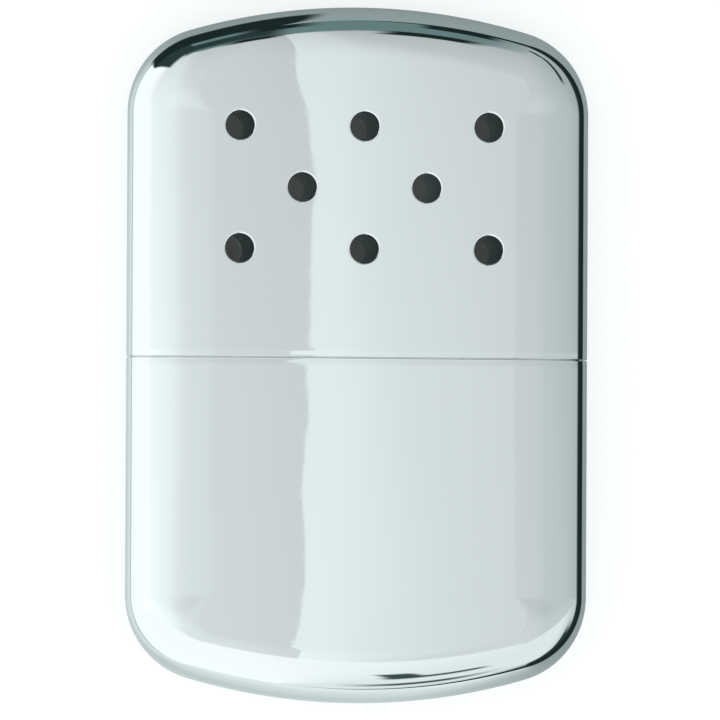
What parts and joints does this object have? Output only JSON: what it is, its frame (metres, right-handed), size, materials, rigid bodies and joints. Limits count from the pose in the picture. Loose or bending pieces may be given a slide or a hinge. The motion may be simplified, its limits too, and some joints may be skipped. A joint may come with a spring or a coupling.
{
  "type": "catalytic hand warmer",
  "caption": "Pocket catalytic hand warmer: a drawn, polished fuel tank with a vented slip-on lid of the same rounded form, and a lift-off burner on its filler neck.",
  "frame": {"origin": "centre of the back face's footprint: the middle of the bounding box, at the level the warmer lies on", "axes": "+Y along the body towards the lid's end, +Z out of the front face, +X to the right with the front face in view and the lid up"},
  "size_m": [0.066, 0.0988, 0.014],
  "materials": {
    "polished_chrome": "bright chrome plate on drawn, polished steel sheet",
    "collar_chrome": "chrome plate with slip marks from the lid",
    "nickel_plate": "satin nickel plate",
    "heat_tinted_steel": "pressed stainless sheet, straw to blue heat tint",
    "bare_steel": "punched stainless sheet",
    "wire_gauze": "woven stainless wire, darkened by heat",
    "glass_fibre": "needled glass fibre, grey with platinum",
    "cotton_wadding": "loose cotton wadding",
    "wool_felt": "dense felt"
  },
  "bodies": {
    "tank": {"tank_shell": "polished_chrome", "tank_collar": "collar_chrome", "filler_neck": "nickel_plate", "fuel_wadding": "cotton_wadding", "neck_wick": "wool_felt"},
    "lid": {"lid_shell": "polished_chrome"},
    "burner": {"burner_skirt": "heat_tinted_steel", "diffuser_plate": "bare_steel", "catalyst_pad": "glass_fibre", "catalyst_gauze": "wire_gauze", "burner_cage": "heat_tinted_steel"}
  },
  "joints": [
    {"name": "lid_slide", "type": "slide", "parent": "tank", "child": "lid", "axis": [0, 1, 0], "range_m": [0, 0.045]},
    {"name": "burner_lift", "type": "slide", "parent": "tank", "child": "burner", "axis": [0, 1, 0], "range_m": [0, 0.01]}
  ]
}
